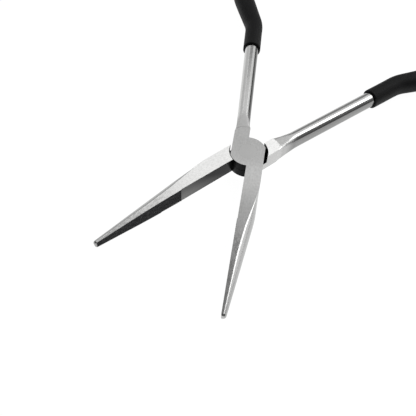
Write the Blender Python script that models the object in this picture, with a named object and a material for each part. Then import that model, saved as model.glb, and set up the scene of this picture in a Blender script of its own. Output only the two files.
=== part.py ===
"""Long-nose fishing pliers, held open on their lap joint.

Two steel halves cross at a round boss and turn on a rivet that is ground flush with both
side faces. Each half is one forging: a jaw, half of the lap joint, a shank and the tang
that runs on inside a moulded grip. The lower half is the upper one turned over.

Frame: the rivet's axis is Z, the jaws point along -Y, the handles along +Y, and Z = 0 is
the lower side face of the joint. Each half is drawn closed, with its jaw on the +X side
of the closing plane X = 0, and is then swung open about the rivet.
"""

import math

import bmesh
import bpy
from mathutils import Vector

MM = 0.001

# Joint and head
HEAD_THICKNESS = 10.2 * MM
HEAD_HALF_WIDTH = 9.15 * MM  # closing plane to either side of the head
BOSS_OVERHANG = 0.85 * MM  # the round boss stands out past the head's sides by this
BOSS_RADIUS = HEAD_HALF_WIDTH + BOSS_OVERHANG
SHOULDER_CLEARANCE = 0.3 * MM  # round a boss, to the other half's shoulder
LAP_CLEARANCE = 0.2 * MM  # between the two laps
TAIL_GAP = 1.5 * MM  # between the handle roots when closed
TAIL_REACH = 17.4 * MM  # rivet axis to where the ground flat runs out
TAIL_ROUNDING = 3.6 * MM  # how far that edge falls back at the outer side
OPENING = math.radians(43.3)  # between the jaw faces as modelled

# Rivet
RIVET_DIAMETER = 7.0 * MM
RIVET_HEAD_DIAMETER = 10.0 * MM
RIVET_HEAD_DEPTH = 1.5 * MM
RIVET_CLEARANCE = 0.1 * MM

# Jaw
JAW_REACH = 96.9 * MM  # rivet axis to the tip
JAW_ROOT_REACH = 20.0 * MM  # where the outer side starts to round over
JAW_TIP_WIDTH = 2.5 * MM
JAW_SIDE_ARC = math.radians(112)  # turned through by the rounded outer side
JAW_TIP_THICKNESS = 3.9 * MM
JAW_TIP_ROUNDING = 1.2 * MM
WIDTH_TAPER_START = 41.0 * MM
THICKNESS_TAPER_START = 59.0 * MM
ROUND_OVER_REACH = 54.0 * MM  # where the outer side has become a full round
ROUND_OVER_WIDTH = 3.8 * MM
CLOSED_GAP = 0.1 * MM  # between the toothed faces when closed
FACE_RELIEF = 0.25 * MM  # the smooth face stands back this far behind the teeth
TEETH_START = 44.6 * MM
TOOTH_PITCH = 1.6 * MM
TOOTH_DEPTH = 0.45 * MM

# Shank and tang
SHANK_ROOT_CENTRE = 4.2 * MM  # its line starts this far from the closing plane
SHANK_SPLAY = math.radians(2.7)
SHANK_ROOT_WIDTH = 7.4 * MM
SHANK_WIDTH = 8.4 * MM  # where it enters the grip
SHANK_DEPTH = 9.0 * MM  # where it enters the grip
SHANK_STEP = 0.2 * MM  # the ground flats stand proud of the shank by this
SHANK_CORNER = 3.5 * MM
TANG_END_WIDTH = 6.5 * MM
TANG_END_DEPTH = 7.5 * MM
BEND_START = 107.5 * MM  # along the handle, from the rivet
BEND_RADIUS = 24.0 * MM
BEND_ANGLE = math.radians(18.5)
BEND_TO_BOW = 22.0 * MM
BOW_RADIUS = 85.0 * MM

# Grip
GRIP_START = 88.5 * MM  # along the handle, from the rivet
GRIP_LENGTH = 97.0 * MM
GRIP_WALL = 1.0 * MM
GRIP_CLEARANCE = 0.25 * MM
GRIP_END_WALL = 7.0 * MM
GRIP_WIDTH = 12.8 * MM  # in the palm
GRIP_DEPTH = 13.2 * MM
GRIP_SWELL_START = 12.0 * MM  # from the grip's rim
GRIP_SWELL_END = 55.0 * MM
GRIP_RIM_ROUNDING = 0.6 * MM
GRIP_END_ROUNDING = 8.0 * MM

# How finely round shapes are divided
BOSS_STEP = math.radians(6.0)
ROUND_SEGMENTS = 64
SIDE_SEGMENTS = 12
CORNER_SEGMENTS = 6

MID = HEAD_THICKNESS / 2


def smoothstep(value, start, end):
    """0 before start, 1 after end, and an S-curve between them."""
    share = min(1.0, max(0.0, (value - start) / (end - start)))
    return share * share * (3 - 2 * share)


def ramp(value, start, end):
    """0 before start, 1 after end, and a straight line between them."""
    return min(1.0, max(0.0, (value - start) / (end - start)))


def mix(first, second, share):
    return first + (second - first) * share


def spaced(start, end, step):
    """Values from start to end, evenly spaced and no further apart than step."""
    count = max(1, math.ceil(abs(end - start) / step - 1e-6))
    return [mix(start, end, i / count) for i in range(count + 1)]


# ---------------------------------------------------------------- the jaw


def jaw_width(reach):
    """From the closing plane to the jaw's outer side."""
    return mix(HEAD_HALF_WIDTH, JAW_TIP_WIDTH, ramp(reach, WIDTH_TAPER_START, JAW_REACH))


def jaw_half_thickness(reach):
    share = ramp(reach, THICKNESS_TAPER_START, JAW_REACH)
    return mix(HEAD_THICKNESS, JAW_TIP_THICKNESS, share) / 2


def round_over(reach):
    """How wide the rounded outer side is, seen from above."""
    grown = ROUND_OVER_WIDTH * smoothstep(reach, JAW_ROOT_REACH, ROUND_OVER_REACH)
    return min(grown, 0.62 * jaw_width(reach))


def tip_scale(reach):
    """How the section shrinks over the rounded tip."""
    into = ramp(reach, JAW_REACH - JAW_TIP_ROUNDING, JAW_REACH)
    return 0.45 + 0.55 * math.sqrt(max(0.0, 1 - into * into))


def jaw_ring(reach, face):
    """The section across the jaw at this reach, whose inner face is at X = face."""
    scale = tip_scale(reach)
    centre = face + (jaw_width(reach) - face) / 2
    half = jaw_half_thickness(reach) * scale
    outer = centre + (jaw_width(reach) - centre) * scale
    inner = centre - (centre - face) * scale
    round_width = round_over(reach) * scale
    flat = outer - round_width
    ring = [(inner, half)]
    end = JAW_SIDE_ARC / 2
    for i in range(SIDE_SEGMENTS + 1):
        angle = end * (1 - 2 * i / SIDE_SEGMENTS)
        bulge = (math.cos(angle) - math.cos(end)) / (1 - math.cos(end))
        ring.append((flat + round_width * bulge, half * math.sin(angle) / math.sin(end)))
    ring.append((inner, -half))
    return [Vector((x, -reach, MID + z)) for x, z in ring]


def jaw_stations(tooth_phase):
    """(reach, X of the inner face) down the jaw, from its root to the tip."""
    face = CLOSED_GAP / 2
    smooth = face + FACE_RELIEF
    stations = [(r, smooth) for r in spaced(JAW_ROOT_REACH, TEETH_START - TOOTH_PITCH / 2, 3.5 * MM)]
    teeth_end = JAW_REACH - JAW_TIP_ROUNDING
    crest = TEETH_START + tooth_phase * TOOTH_PITCH
    while crest + TOOTH_PITCH / 2 < teeth_end:
        stations.append((crest, face))
        stations.append((crest + TOOTH_PITCH / 2, face + TOOTH_DEPTH))
        crest += TOOTH_PITCH
    stations += [(r, face) for r in spaced(teeth_end, JAW_REACH, JAW_TIP_ROUNDING / 4)]
    return stations


# ---------------------------------------------------------------- the handle


def handle_line(distance):
    """(point, heading) on the handle's centre line, at this distance along it from the
    rivet. The heading is measured from +Y towards the outside, which is -X here."""
    runs = [
        (BEND_START, 0.0),
        (BEND_RADIUS * BEND_ANGLE, 1 / BEND_RADIUS),
        (BEND_TO_BOW, 0.0),
        (math.inf, -1 / BOW_RADIUS),
    ]
    point = Vector((-SHANK_ROOT_CENTRE, 0.0))
    heading = SHANK_SPLAY
    for length, curvature in runs:
        part = min(length, distance)
        turn = part * curvature
        chord = part if turn == 0 else 2 * math.sin(turn / 2) / curvature
        middle = heading + turn / 2
        point = point + Vector((-math.sin(middle), math.cos(middle))) * chord
        heading += turn
        distance -= part
        if distance <= 0:
            break
    return point, heading


def handle_ring(distance, outline):
    """Places a section's (across, up) points square to the handle's line."""
    point, heading = handle_line(distance)
    across = Vector((math.cos(heading), math.sin(heading)))
    ring = []
    for offset, up in outline:
        spot = point + across * offset
        ring.append(Vector((spot.x, spot.y, MID + up)))
    return ring


def rounded_box(width, depth, corner, squareness=0.0):
    """A rounded rectangle's points, from the +X side round by +Z. A squareness of 1 pushes
    the same points out to square corners."""
    corner = min(corner, 0.47 * width, 0.47 * depth)
    outline = []
    for quarter in range(4):
        side = 1 if quarter in (0, 3) else -1
        top = 1 if quarter < 2 else -1
        for i in range(CORNER_SEGMENTS + 1):
            angle = math.pi / 2 * (quarter + i / CORNER_SEGMENTS)
            c, s = math.cos(angle), math.sin(angle)
            reach = corner * mix(1.0, 1 / max(abs(c), abs(s)), squareness)
            across = side * (width / 2 - corner) + reach * c
            up = top * (depth / 2 - corner) + reach * s
            outline.append((across, up))
    return outline


def tang_end():
    return GRIP_START + GRIP_LENGTH - GRIP_END_WALL


def steel_section(distance):
    """(width, depth, corner radius) of the shank and tang."""
    along = ramp(distance, TAIL_REACH, GRIP_START)
    inside = ramp(distance, GRIP_START, tang_end())
    width = mix(mix(SHANK_ROOT_WIDTH, SHANK_WIDTH, along), TANG_END_WIDTH, inside)
    root_depth = HEAD_THICKNESS - 2 * SHANK_STEP
    depth = mix(mix(root_depth, SHANK_DEPTH, along), TANG_END_DEPTH, inside)
    corner = mix(1.0 * MM, SHANK_CORNER, smoothstep(distance, TAIL_REACH, 45 * MM))
    return width, depth, corner


def tail_ring():
    """The square-cornered end of the head, from which the shank grows. Its points match
    the shank's one for one, and it falls back towards the outer side."""
    inner, outer = -TAIL_GAP / 2, -HEAD_HALF_WIDTH
    width = inner - outer
    ring = []
    for across, up in rounded_box(width, HEAD_THICKNESS, 3 * MM, squareness=1.0):
        share = (width / 2 - across) / width
        y = TAIL_REACH - TAIL_ROUNDING * share**4
        ring.append(Vector(((inner + outer) / 2 + across, y, MID + up)))
    return ring


def handle_stations():
    """Distances along the handle at which its sections are drawn."""
    bend_end = BEND_START + BEND_RADIUS * BEND_ANGLE
    bow_start = bend_end + BEND_TO_BOW
    stations = [TAIL_REACH + 1.6 * MM, TAIL_REACH + 4 * MM]
    stations += spaced(TAIL_REACH + 8 * MM, BEND_START, 10 * MM)
    stations += spaced(BEND_START, bend_end, 2.5 * MM)[1:]
    stations += spaced(bend_end, bow_start, 8 * MM)[1:]
    stations += spaced(bow_start, tang_end(), 5 * MM)[1:]
    return stations


def shank_rings():
    return [handle_ring(d, rounded_box(*steel_section(d))) for d in handle_stations()]


# ---------------------------------------------------------------- meshes


def finished(bm, name):
    """Turns a bmesh into a mesh whose faces point out, smooth apart from its edges."""
    bmesh.ops.recalc_face_normals(bm, faces=bm.faces)
    mesh = bpy.data.meshes.new(name)
    bm.to_mesh(mesh)
    bm.free()
    mesh.shade_smooth()
    mesh.set_sharp_from_angle(angle=math.radians(35))
    return mesh


def add_tube(bm, rings):
    """Skins a row of closed rings and returns their vertices."""
    made = [[bm.verts.new(point) for point in ring] for ring in rings]
    for near, far in zip(made, made[1:]):
        count = len(near)
        for i in range(count):
            j = (i + 1) % count
            bm.faces.new((near[i], near[j], far[j], far[i]))
    return made


def boss_arc(start, end):
    """Points on the boss's edge from one angle to another, both ends included."""
    return [
        Vector((BOSS_RADIUS * math.cos(a), BOSS_RADIUS * math.sin(a)))
        for a in spaced(start, end, BOSS_STEP)
    ]


def head_sides(inner_face):
    """The head's plan in two runs: up the right side from the jaw to the handle, and down
    the left side from the handle to the jaw. The jaw and handle ends are left open."""
    shoulder = math.acos(min(1.0, HEAD_HALF_WIDTH / BOSS_RADIUS))
    tail = math.acos(-TAIL_GAP / 2 / BOSS_RADIUS)
    right = boss_arc(shoulder, tail)
    left = boss_arc(math.pi + shoulder, math.tau - math.acos(inner_face / BOSS_RADIUS))
    return right, left


def half_mesh(name, tooth_phase):
    """One forging, closed, with its jaw on the +X side."""
    bm = bmesh.new()
    stations = jaw_stations(tooth_phase)
    jaw = add_tube(bm, [jaw_ring(reach, face) for reach, face in stations])
    bm.faces.new(jaw[-1])
    shank = add_tube(bm, [tail_ring()] + shank_rings())
    bm.faces.new(shank[-1])

    right, left = head_sides(stations[0][1])
    top, bottom = {}, {}
    for point in right + left:
        key = tuple(point)
        top[key] = bm.verts.new((point.x, point.y, HEAD_THICKNESS))
        bottom[key] = bm.verts.new((point.x, point.y, 0.0))
    right_top, right_low = ([level[tuple(p)] for p in right] for level in (top, bottom))
    left_top, left_low = ([level[tuple(p)] for p in left] for level in (top, bottom))

    root, tail = jaw[0], shank[0]
    flat = HEAD_THICKNESS - 1e-7
    tail_top = sorted((v for v in tail if v.co.z > flat), key=lambda v: -v.co.x)
    tail_low = sorted((v for v in tail if v.co.z < 1e-7), key=lambda v: -v.co.x)
    tail_inner = sorted((v for v in tail if v.co.x > -TAIL_GAP / 2 - 1e-7), key=lambda v: v.co.z)
    tail_outer = sorted((v for v in tail if v.co.x < -HEAD_HALF_WIDTH + 1e-7), key=lambda v: v.co.z)

    bm.faces.new([root[0], root[1]] + right_top + tail_top + left_top)
    bm.faces.new([root[-1], root[-2]] + right_low + tail_low + left_low)
    bm.faces.new(list(reversed(root[1:-1])) + [right_top[0], right_low[0]])
    bm.faces.new([root[0], root[-1], left_low[-1], left_top[-1]])
    bm.faces.new([right_low[-1]] + tail_inner + [right_top[-1]])
    bm.faces.new([left_low[0]] + tail_outer + [left_top[0]])
    for tops, lows in ((right_top, right_low), (left_top, left_low)):
        for i in range(len(tops) - 1):
            bm.faces.new((tops[i], tops[i + 1], lows[i + 1], lows[i]))
    return finished(bm, name)


def turned_mesh(name, profile):
    """A solid turned about Z from (radius, height) points that start and end on the axis."""
    bm = bmesh.new()
    rows = []
    for radius, height in profile[1:-1]:
        rows.append(
            [
                Vector(
                    (
                        radius * math.cos(math.tau * i / ROUND_SEGMENTS),
                        radius * math.sin(math.tau * i / ROUND_SEGMENTS),
                        height,
                    )
                )
                for i in range(ROUND_SEGMENTS)
            ]
        )
    made = add_tube(bm, rows)
    bm.faces.new(made[0])
    bm.faces.new(made[-1])
    return finished(bm, name)


def rivet_profile(clearance, overshoot):
    """The rivet's turned outline. A clearance makes it the hole that the rivet sits in."""
    body = RIVET_DIAMETER / 2 + clearance
    head = RIVET_HEAD_DIAMETER / 2 + clearance
    slope = (RIVET_HEAD_DIAMETER - RIVET_DIAMETER) / 2 / RIVET_HEAD_DEPTH
    edge = head + slope * overshoot
    low, high = -overshoot, HEAD_THICKNESS + overshoot
    return [
        (0.0, low),
        (edge, low),
        (body, RIVET_HEAD_DEPTH),
        (body, HEAD_THICKNESS - RIVET_HEAD_DEPTH),
        (edge, high),
        (0.0, high),
    ]


def lap_cutter_mesh():
    """What is cut from under a half's boss to make room for the other half's lap."""
    radius = BOSS_RADIUS + SHOULDER_CLEARANCE
    low, high = -2 * MM, MID + LAP_CLEARANCE / 2
    return turned_mesh("lap_cutter", [(0, low), (radius, low), (radius, high), (0, high)])


def grip_section(into):
    """(width, depth) of the grip's outside, this far from its rim."""
    rim_width = SHANK_WIDTH + 2 * (GRIP_WALL + GRIP_CLEARANCE)
    rim_depth = SHANK_DEPTH + 2 * (GRIP_WALL + GRIP_CLEARANCE)
    palm = smoothstep(into, GRIP_SWELL_START, GRIP_SWELL_END)
    width = mix(rim_width, max(GRIP_WIDTH, rim_width), palm)
    depth = mix(rim_depth, max(GRIP_DEPTH, rim_depth), palm)
    at_rim = ramp(into, 0, GRIP_RIM_ROUNDING)
    trim = GRIP_RIM_ROUNDING * (1 - math.sqrt(max(0.0, 1 - (1 - at_rim) ** 2)))
    at_end = ramp(into, GRIP_LENGTH - GRIP_END_ROUNDING, GRIP_LENGTH)
    taper = 0.3 + 0.7 * math.sqrt(max(0.0, 1 - at_end * at_end))
    return (width - trim) * taper, (depth - trim) * taper


def grip_mesh():
    """A closed-ended sleeve over the tang, drawn from its closed end to its rim and back
    in along the tang."""
    ends = [0.0, GRIP_RIM_ROUNDING / 2, GRIP_RIM_ROUNDING]
    ends += [
        GRIP_LENGTH - GRIP_END_ROUNDING * (1 - math.sin(math.pi / 2 * i / 6)) for i in range(7)
    ]
    between = [d - GRIP_START for d in handle_stations()]
    outside = ends + [
        s for s in between if GRIP_RIM_ROUNDING + 1 * MM < s < GRIP_LENGTH - GRIP_END_ROUNDING - 1 * MM
    ]
    rings = []
    for s in sorted(outside, reverse=True):
        width, depth = grip_section(s)
        rings.append(handle_ring(GRIP_START + s, rounded_box(width, depth, width / 2)))
    room = 2 * GRIP_CLEARANCE
    inside = [0.0] + [s for s in between if s > 1 * MM]
    for s in inside:
        width, depth, corner = steel_section(GRIP_START + s)
        section = rounded_box(width + room, depth + room, corner + GRIP_CLEARANCE)
        rings.append(handle_ring(GRIP_START + s, section))
    rings.append(handle_ring(tang_end() + GRIP_CLEARANCE, section))
    bm = bmesh.new()
    made = add_tube(bm, rings)
    bm.faces.new(made[0])
    bm.faces.new(made[-1])
    return finished(bm, "grip")


# ---------------------------------------------------------------- the object


def material(name, colour, roughness, metallic):
    made = bpy.data.materials.new(name)
    made.use_nodes = True
    shader = made.node_tree.nodes["Principled BSDF"]
    shader.inputs["Base Color"].default_value = (*colour, 1.0)
    shader.inputs["Roughness"].default_value = roughness
    shader.inputs["Metallic"].default_value = metallic
    return made


def add(name, mesh, parent=None, finish=None):
    obj = bpy.data.objects.new(name, mesh)
    bpy.context.scene.collection.objects.link(obj)
    obj.parent = parent
    if finish and not mesh.materials:
        mesh.materials.append(finish)
    return obj


def add_cutter(name, mesh, parent=None):
    obj = add(name, mesh, parent)
    obj.hide_render = True
    obj.display_type = "WIRE"
    return obj


def cut(obj, cutter):
    modifier = obj.modifiers.new(cutter.name, "BOOLEAN")
    modifier.operation = "DIFFERENCE"
    modifier.solver = "EXACT"
    modifier.object = cutter


def build():
    for obj in list(bpy.data.objects):
        bpy.data.objects.remove(obj)
    steel = material("satin_steel", (0.62, 0.62, 0.61), 0.32, 1.0)
    rivet_steel = material("rivet_steel", (0.60, 0.60, 0.59), 0.30, 1.0)
    grip_black = material("grip_black", (0.012, 0.012, 0.013), 0.75, 0.0)

    bore = add_cutter("rivet_bore", turned_mesh("rivet_bore", rivet_profile(RIVET_CLEARANCE, 1 * MM)))
    lap = lap_cutter_mesh()
    grip = grip_mesh()
    # (side, empty's height, turned over, swing, tooth phase)
    sides = (
        ("upper", 0.0, 0.0, OPENING / 2, 0.0),
        ("lower", HEAD_THICKNESS, math.pi, -OPENING / 2, 0.5),
    )
    for side, height, flip, swing, tooth_phase in sides:
        pivot = bpy.data.objects.new(f"{side}_pivot", None)
        bpy.context.scene.collection.objects.link(pivot)
        pivot.location.z = height
        pivot.rotation_euler = (0.0, flip, swing)
        half = add(f"{side}_jaw_and_handle", half_mesh(f"{side}_half", tooth_phase), pivot, steel)
        cut(half, add_cutter(f"{side}_lap_room", lap, pivot))
        cut(half, bore)
        add(f"{side}_grip", grip, pivot, grip_black)
    add("pivot_rivet", turned_mesh("pivot_rivet", rivet_profile(0.0, 0.0)), None, rivet_steel)


build()
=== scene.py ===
"""Long-nose fishing pliers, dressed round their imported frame.

Each piece is drawn in the same frame as the CAD: the rivet's axis is Z, the jaws point
along -Y, the handles along +Y, and Z = 0 is the lower side face of the joint. A half is
drawn closed, with its jaw on the +X side of the closing plane, and is then swung open.
"""

import math

import bmesh
import bpy
from bpy.props import FloatProperty, FloatVectorProperty, PointerProperty
from mathutils import Euler, Matrix, Vector


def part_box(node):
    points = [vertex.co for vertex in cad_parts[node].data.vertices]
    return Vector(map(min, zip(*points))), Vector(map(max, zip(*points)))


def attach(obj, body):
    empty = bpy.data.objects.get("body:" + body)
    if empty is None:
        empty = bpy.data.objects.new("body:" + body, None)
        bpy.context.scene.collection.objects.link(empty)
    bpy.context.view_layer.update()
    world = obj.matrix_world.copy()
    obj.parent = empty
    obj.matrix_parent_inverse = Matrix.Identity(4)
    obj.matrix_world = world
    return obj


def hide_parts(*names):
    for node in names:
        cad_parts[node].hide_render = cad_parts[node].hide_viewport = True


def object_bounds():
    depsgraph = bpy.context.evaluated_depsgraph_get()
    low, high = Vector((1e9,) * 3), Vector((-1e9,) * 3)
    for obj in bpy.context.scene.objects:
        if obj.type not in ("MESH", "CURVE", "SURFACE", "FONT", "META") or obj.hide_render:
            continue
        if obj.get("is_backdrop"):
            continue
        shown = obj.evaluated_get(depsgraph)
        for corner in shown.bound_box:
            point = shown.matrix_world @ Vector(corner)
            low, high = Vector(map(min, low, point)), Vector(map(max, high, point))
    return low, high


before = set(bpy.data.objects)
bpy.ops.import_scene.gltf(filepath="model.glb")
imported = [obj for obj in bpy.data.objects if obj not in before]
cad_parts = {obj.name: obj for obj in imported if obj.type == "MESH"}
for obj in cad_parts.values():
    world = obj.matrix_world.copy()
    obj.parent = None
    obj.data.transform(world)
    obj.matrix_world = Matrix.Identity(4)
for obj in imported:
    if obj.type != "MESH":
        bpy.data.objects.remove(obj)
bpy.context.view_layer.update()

bl_info = {
    "name": "Long-Nose Fishing Pliers",
    "version": (1, 0, 0),
    "blender": (4, 5, 0),
    "location": "View3D > Sidebar > Pliers",
    "description": "Builds the ground steel halves, the rivet and the grips of long-nose pliers",
    "category": "Add Mesh",
}

MM = 0.001

# Joint and head
HEAD_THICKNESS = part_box("pivot_rivet")[1].z
MID = HEAD_THICKNESS / 2
HEAD_HALF_WIDTH = 9.15 * MM
BOSS_RADIUS = 10.0 * MM
JAW_SIDE_CLEARANCE = 0.35 * MM
NECK_SIDE_CLEARANCE = 1.15 * MM
LAP_CLEARANCE = 0.2 * MM
TAIL_GAP = 1.5 * MM
TAIL_REACH = 17.4 * MM
TAIL_ROUNDING = 3.6 * MM
TAIL_CORNER = 3.0 * MM
NECK_LENGTH = 7.0 * MM
OPENING = math.radians(43.3)

# Rivet
RIVET_DIAMETER = 7.0 * MM
RIVET_HEAD_DIAMETER = 10.0 * MM
RIVET_HEAD_DEPTH = 1.5 * MM
RIVET_CLEARANCE = 0.1 * MM
RIVET_SEAM = 0.03 * MM
LAP_ROOM_LOW = -2.0 * MM

# Jaw
JAW_REACH = 96.9 * MM
JAW_ROOT_REACH = 20.0 * MM
JAW_TIP_WIDTH = 2.5 * MM
JAW_SIDE_ARC = math.radians(112)
JAW_TIP_THICKNESS = 3.9 * MM
JAW_TIP_ROUNDING = 1.2 * MM
JAW_END_SCALE = 0.45  # of the section, where the rounded tip ends
WIDTH_TAPER_START = 41.0 * MM
WIDTH_TAPER_EASE = 5.0 * MM
THICKNESS_TAPER_START = 59.0 * MM
THICKNESS_TAPER_EASE = 16.0 * MM
ROUND_OVER_REACH = 50.0 * MM
ROUND_OVER_WIDTH = 3.35 * MM
ROUND_OVER_MOST = 0.52  # of the jaw's width
RIDGE_START_REACH = 26.0 * MM
RIDGE_FULL_REACH = 47.0 * MM
RIDGE_LEAST = 0.03 * MM
RIDGE_MOST_OF_DEPTH = 0.36  # of half the jaw's thickness
RIDGE_MOST_OF_FLAT = 0.45
RIDGE_MOST_OF_SIDE = 0.3
CLOSED_GAP = 0.1 * MM
FACE_RELIEF = 0.25 * MM
TEETH_START = 44.6 * MM
EDGE_TEETH_END = TEETH_START + 13.0 * MM  # up to here they cut through the upper edge
TOOTH_FADE = (0.05 * MM, 0.7 * MM)  # elsewhere they fade over this much of each edge
GROOVE_STEEPNESS = 1.35

# Shank and tang
SHANK_ROOT_CENTRE = 4.2 * MM
SHANK_SPLAY = math.radians(2.7)
SHANK_ROOT_WIDTH = 7.4 * MM
SHANK_WIDTH = 8.4 * MM
SHANK_DEPTH = 9.0 * MM
SHANK_STEP = 0.2 * MM
SHANK_ROOT_CORNER = 1.0 * MM
SHANK_CORNER = 3.9 * MM
ROUND_BY = 31.0 * MM
TANG_END_WIDTH = 6.5 * MM
TANG_END_DEPTH = 7.5 * MM
BEND_START = 107.5 * MM
BEND_RADIUS = 24.0 * MM
BEND_ANGLE = math.radians(18.5)
BEND_TO_BOW = 22.0 * MM
BOW_RADIUS = 85.0 * MM

# Grip
GRIP_START = 88.5 * MM
GRIP_LENGTH = 97.0 * MM
GRIP_WALL = 1.0 * MM
GRIP_CLEARANCE = 0.25 * MM
GRIP_END_WALL = 7.0 * MM
GRIP_WIDTH = 12.8 * MM
GRIP_DEPTH = 13.2 * MM
GRIP_SWELL_START = 12.0 * MM
GRIP_SWELL_END = 55.0 * MM
GRIP_RIM_ROUNDING = 0.6 * MM
GRIP_END_ROUNDING = 8.0 * MM
GRIP_END_SCALE = 0.3

# How finely the shapes are divided
BOSS_STEP = math.radians(2.5)
ROUND_SEGMENTS = 144
SIDE_SEGMENTS = 22
RIDGE_SEGMENTS = 8  # even, so that one point lies on the corner
FACE_COLUMNS = 48
JAW_STEP = 1.2 * MM
JAW_TIP_RINGS = 7
SEAM_STEP = 0.02 * MM
TOOTH_STEP = 0.17 * MM
CORNER_SEGMENTS = 12
NECK_RINGS = 12
NECK_SPACING = 1.2  # above 1, the rings lie closer at the head
HANDLE_STEP = 2.5 * MM
GRIP_STEP = 1.5 * MM
GRIP_RIM_RINGS = 5
GRIP_END_RINGS = 14
SLEEVE_STEP = 3.0 * MM
BREAK_SEGMENTS = 3
BREAK_ANGLE = math.radians(24)
SHARP_ANGLE = math.radians(32)
GRIP_SHARP_ANGLE = math.radians(40)
NORMAL_WEIGHT = 60

# How each half is lifted, turned over, and swung as a share of the opening
SIDES = {"upper": (0.0, 0.0, 0.5), "lower": (HEAD_THICKNESS, math.pi, -0.5)}

# Painted light on each half's ground flats, as brightness beside its other steel: the lower half's
# flats are painted much lighter than the upper's, a painted highlight, and both fade towards the
# tip.
# Columns: behind the rivet, at the jaw's root and at its tip, and the reaches in mm between which
# the last two change
GROUND_PAINTED_LIGHT = {"upper": (0.88, 1.0, 0.70, 16.0, 42.0), "lower": (1.75, 1.66, 1.3, 25.0, 85.0)}
# Painted shade on the shanks' outer and inner sides, by which way they face, and on the jaws' round
# sides: how bright each is
SIDE_PAINTED_SHADE = {"upper": (1.0, 0.2, 0.82), "lower": (0.5, 0.6, 0.68)}
STAIN_DEPTHS = {"upper": 0.7, "lower": 0.16}
# Painted shade: how far the faces between the necks are darkened towards the joint's near-black
BETWEEN_NECKS_SHADE = 0.35

# Where the steel's look changes along a closed half, in mm: reaches towards the jaw's tip,
# and distances towards the grip
HEAD_BAND = (2.0, 14.0)
JAW_BAND = (10.0, 26.0)
JOINT_SHADE_BAND = (12.0, 46.0)
STAIN_STARTS, STAIN_ENDS = (44.0, 62.0), (88.0, 96.0)
NECK_STARTS, NECK_ENDS = (16.0, 18.0), (22.0, 32.0)
SHANK_BAND = (20.0, 27.0)
FACE_SHADE_BAND = (1.0, 8.5)  # heights
RIVET_BAND = (2.0, 8.0)  # heights


# ---------------------------------------------------------------- settings


class PliersForgingSettings(bpy.types.PropertyGroup):
    edge_break: FloatProperty(
        name="Edge Break",
        description="Width of the rounding along the head's edges",
        default=0.22 * MM,
        min=0.02 * MM,
        subtype="DISTANCE",
        unit="LENGTH",
    )
    ridge_radius: FloatProperty(
        name="Ridge Radius",
        description="Radius between a jaw's ground flat and its round side",
        default=2.3 * MM,
        min=0.02 * MM,
        subtype="DISTANCE",
        unit="LENGTH",
    )
    tooth_pitch: FloatProperty(
        name="Tooth Pitch",
        description="Spacing of the cross-cut teeth along the jaw",
        default=1.3 * MM,
        min=0.3 * MM,
        subtype="DISTANCE",
        unit="LENGTH",
    )
    tooth_depth: FloatProperty(
        name="Tooth Depth",
        description="How deep the cross-cut teeth are",
        default=0.36 * MM,
        min=0.02 * MM,
        subtype="DISTANCE",
        unit="LENGTH",
    )
    steel_colour: FloatVectorProperty(
        name="Steel Colour",
        description="Colour of the bare satin steel",
        subtype="COLOR",
        size=3,
        default=(0.56, 0.56, 0.555),
        min=0.0,
        max=1.0,
    )
    # Painted shade: the valleys between the teeth are painted near-black, and their crests lighter
    tooth_shade_colour: FloatVectorProperty(
        name="Tooth Colour",
        description="Colour of the darkened valleys between the teeth",
        subtype="COLOR",
        size=3,
        default=(0.026, 0.026, 0.027),
        min=0.0,
        max=1.0,
    )
    # Also the colour that the painted shade on the smooth inner face and between the necks darkens
    # towards
    oxide_and_shade_colour: FloatVectorProperty(
        name="Oxide Colour",
        description="Colour of the blackened walls round the joint",
        subtype="COLOR",
        size=3,
        default=(0.003, 0.003, 0.0033),
        min=0.0,
        max=1.0,
    )
    ground_roughness: FloatProperty(
        name="Ground Roughness",
        description="Roughness of the ground side faces",
        subtype="FACTOR",
        default=0.36,
        min=0.0,
        max=1.0,
    )
    jaw_roughness: FloatProperty(
        name="Jaw Roughness",
        description="Roughness of the jaws' round sides",
        subtype="FACTOR",
        default=0.22,
        min=0.0,
        max=1.0,
    )
    polished_roughness: FloatProperty(
        name="Polished Roughness",
        description="Roughness of the round shanks",
        subtype="FACTOR",
        default=0.17,
        min=0.0,
        max=1.0,
    )


class PliersGripSettings(bpy.types.PropertyGroup):
    grip_colour: FloatVectorProperty(
        name="Grip Colour",
        description="Colour of the moulded grips",
        subtype="COLOR",
        size=3,
        default=(0.0034, 0.0035, 0.0042),
        min=0.0,
        max=1.0,
    )
    grip_roughness: FloatProperty(
        name="Grip Roughness",
        description="Roughness of the moulded grips",
        subtype="FACTOR",
        default=0.62,
        min=0.0,
        max=1.0,
    )
    grain_depth: FloatProperty(
        name="Grain Depth",
        description="Depth of the grips' fine moulded grain",
        default=0.05 * MM,
        min=0.0,
        subtype="DISTANCE",
        unit="LENGTH",
    )


class PliersStudioSettings(bpy.types.PropertyGroup):
    floor_colour: FloatVectorProperty(
        name="Floor Colour",
        description="Colour of the light table under the pliers",
        subtype="COLOR",
        size=3,
        default=(1.0, 1.0, 1.0),
        min=0.0,
        max=1.0,
    )
    room_brightness: FloatProperty(
        name="Room Brightness",
        description="How bright the room round the table is",
        default=0.16,
        min=0.0,
    )
    light_scale: FloatProperty(
        name="Light Scale",
        description="Scales the strength of every lamp",
        default=1.0,
        min=0.0,
    )


# ---------------------------------------------------------------- shaping


def smoothstep(value, start, end):
    share = min(1.0, max(0.0, (value - start) / (end - start)))
    return share * share * (3 - 2 * share)


def ramp(value, start, end):
    return min(1.0, max(0.0, (value - start) / (end - start)))


def mix(first, second, share):
    return first + (second - first) * share


def eased_ramp(value, start, end, ease):
    """A ramp whose first corner is eased over this much on either side of it."""
    if abs(value - start) < ease:
        return (value - start + ease) ** 2 / (4 * ease) / (end - start)
    return ramp(value, start, end)


def spaced(start, end, step):
    count = max(1, math.ceil(abs(end - start) / step - 1e-6))
    return [mix(start, end, i / count) for i in range(count + 1)]


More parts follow.
